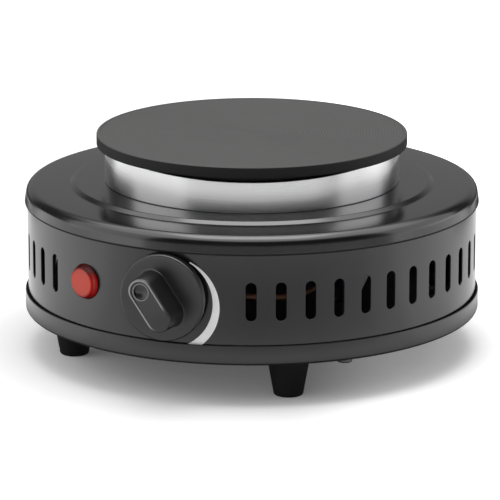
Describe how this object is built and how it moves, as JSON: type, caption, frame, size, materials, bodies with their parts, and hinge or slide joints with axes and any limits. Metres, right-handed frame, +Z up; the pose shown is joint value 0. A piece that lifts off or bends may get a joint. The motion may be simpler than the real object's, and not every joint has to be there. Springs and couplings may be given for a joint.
{
  "type": "hot plate burner",
  "caption": "Electric hot plate burner: a round cast iron plate on a bright collar, over a black slotted drum housing with a thermostat knob, a red signal lamp and tapered feet.",
  "frame": {"origin": "On the axis of the round body, at the level of the surface that the feet stand on.", "axes": "+Z is up along the body's axis, -Y is the front with the knob, +X is to the right of someone facing the knob."},
  "size_m": [0.2274, 0.2485, 0.11],
  "materials": {
    "black_paint": "satin black stove enamel",
    "bright_steel": "polished stainless steel",
    "cast_iron": "turned cast iron with a heat proof black finish",
    "foot_rubber": "matt black rubber",
    "knob_plastic": "satin black moulded plastic",
    "red_lens": "translucent red plastic",
    "lamp_plastic": "off-white moulded plastic",
    "gland_plastic": "black nylon",
    "bulb_glass": "clear neon bulb",
    "zinc_steel": "zinc plated steel",
    "spring_steel": "blued spring steel",
    "shield_sheet": "bright aluminium sheet",
    "brass": "plain brass",
    "contact_silver": "silver faced contact rivets",
    "bimetal": "rolled bimetal strip",
    "ceramic": "unglazed steatite ceramic, opaque",
    "coil_wire": "oxidised resistance wire winding",
    "brown_sleeve": "brown silicone sleeve",
    "blue_sleeve": "blue silicone sleeve",
    "earth_sleeve": "green silicone sleeve with a yellow stripe"
  },
  "bodies": {
    "housing": {"base_pan": "black_paint", "side_wall": "black_paint", "top_pan": "black_paint", "collar_ring": "bright_steel", "hot_plate": "cast_iron", "ceramic_filler_outer": "ceramic", "ceramic_filler_inner": "ceramic", "heating_coil_outer": "coil_wire", "heating_coil_inner": "coil_wire", "plate_cover": "zinc_steel", "centre_stud": "zinc_steel", "stud_washer": "zinc_steel", "stud_nut": "zinc_steel", "clamp_bridge": "zinc_steel", "heat_shield": "shield_sheet", "terminal_pins": "zinc_steel", "terminal_beads": "ceramic", "foot_1": "foot_rubber", "foot_2": "foot_rubber", "foot_3": "foot_rubber", "foot_4": "foot_rubber", "foot_screws": "zinc_steel", "foot_nuts": "zinc_steel", "tie_bracket_1": "black_paint", "tie_bracket_2": "black_paint", "tie_bracket_3": "black_paint", "tie_bracket_4": "black_paint", "base_screws": "zinc_steel", "thermostat_bracket": "zinc_steel", "moving_contact_blade": "brass", "fixed_contact_blade": "brass", "bimetal_strip": "bimetal", "stack_insulators": "ceramic", "stack_rivet": "zinc_steel", "contact_rivets": "contact_silver", "push_pin": "ceramic", "shaft_bush": "brass", "thermostat_screws": "zinc_steel", "lamp_lens": "red_lens", "lamp_clip": "spring_steel", "lamp_holder": "lamp_plastic", "neon_bulb": "bulb_glass", "cord_gland": "gland_plastic", "terminal_block": "ceramic", "block_clamp_screws": "brass", "block_screw_left": "zinc_steel", "block_screw_right": "zinc_steel", "earth_screw": "zinc_steel", "live_lead": "brown_sleeve", "switched_lead": "brown_sleeve", "neutral_lead": "blue_sleeve", "earth_lead": "earth_sleeve", "lamp_live_lead": "brown_sleeve", "lamp_neutral_lead": "blue_sleeve"},
    "control": {"knob": "knob_plastic", "knob_clip": "spring_steel", "thermostat_shaft": "zinc_steel"}
  },
  "joints": [
    {"name": "knob_turn", "type": "hinge", "parent": "housing", "child": "control", "pos_m": [0, -0.12, 0.0537], "axis": [0, 1, 0], "range_deg": [0, 270]}
  ]
}
